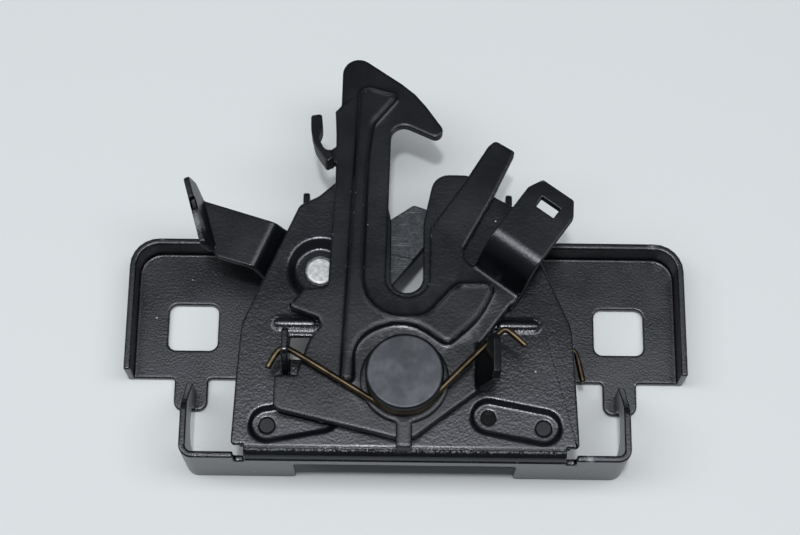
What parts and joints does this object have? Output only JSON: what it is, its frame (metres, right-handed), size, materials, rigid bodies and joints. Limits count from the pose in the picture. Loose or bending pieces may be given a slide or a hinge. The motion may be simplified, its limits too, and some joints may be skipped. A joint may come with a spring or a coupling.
{
  "type": "bonnet latch",
  "caption": "Bonnet latch of folded black sheet with a spring-loaded safety hook, a primary hook behind the striker slot and a cable-pulled release lever.",
  "frame": {"origin": "midway between the two square mounting holes, on the mounting face", "axes": "+X to the right seen from the front, +Y towards the tip of the safety hook, +Z out of the mounting face towards the front"},
  "size_m": [0.172, 0.1252, 0.0446],
  "materials": {
    "plate_paint": "gloss black electro-coat with a pebbled skin",
    "lever_paint": "satin black paint",
    "stud_steel": "dark satin turned steel",
    "washer_steel": "zinc-plated, dull",
    "spring_wire": "oil-tempered wire, golden brown",
    "hook_steel": "grey phosphated steel",
    "rivet_steel": "bare turned steel",
    "bush_brass": "plain bearing bronze"
  },
  "bodies": {
    "frame": {"latch_plate": "plate_paint", "left_bracket": "plate_paint", "right_bracket": "plate_paint", "clinch_rivets": "plate_paint", "main_stud": "stud_steel", "thrust_washer": "washer_steel", "spring_seat": "lever_paint", "safety_spring": "spring_wire", "primary_washer": "washer_steel", "primary_spring": "spring_wire", "spring_collar": "washer_steel", "retaining_washer": "washer_steel", "release_rivet": "rivet_steel", "release_washer": "washer_steel"},
    "safety_hook": {"safety_hook": "lever_paint", "safety_bush": "bush_brass"},
    "primary_hook": {"primary_hook": "hook_steel", "primary_bush": "bush_brass"},
    "release_lever": {"release_lever": "lever_paint", "release_bush": "bush_brass"}
  },
  "joints": [
    {"name": "safety_hook_pivot", "type": "hinge", "parent": "frame", "child": "safety_hook", "pos_m": [-0.0004, -0.0242, 0.03], "axis": [0, 0, 1], "range_deg": [0, 11.5], "stiffness_Nm_per_rad": 0.3, "springref_deg": -17.19, "deforming": ["safety_spring"]},
    {"name": "release_pivot", "type": "hinge", "parent": "frame", "child": "release_lever", "pos_m": [-0.0262, 0.0112, 0.0214], "axis": [0, 0, 1], "range_deg": [0, 10.7]},
    {"name": "primary_hook_pivot", "type": "hinge", "parent": "frame", "child": "primary_hook", "pos_m": [-0.0004, -0.0242, 0.0219], "axis": [0, 0, 1], "range_deg": [-22.5, 0], "deforming": ["primary_spring"]}
  ],
  "couplings": [
    {"joint": "primary_hook_pivot", "follows": "release_pivot", "ratio": -2.1}
  ]
}
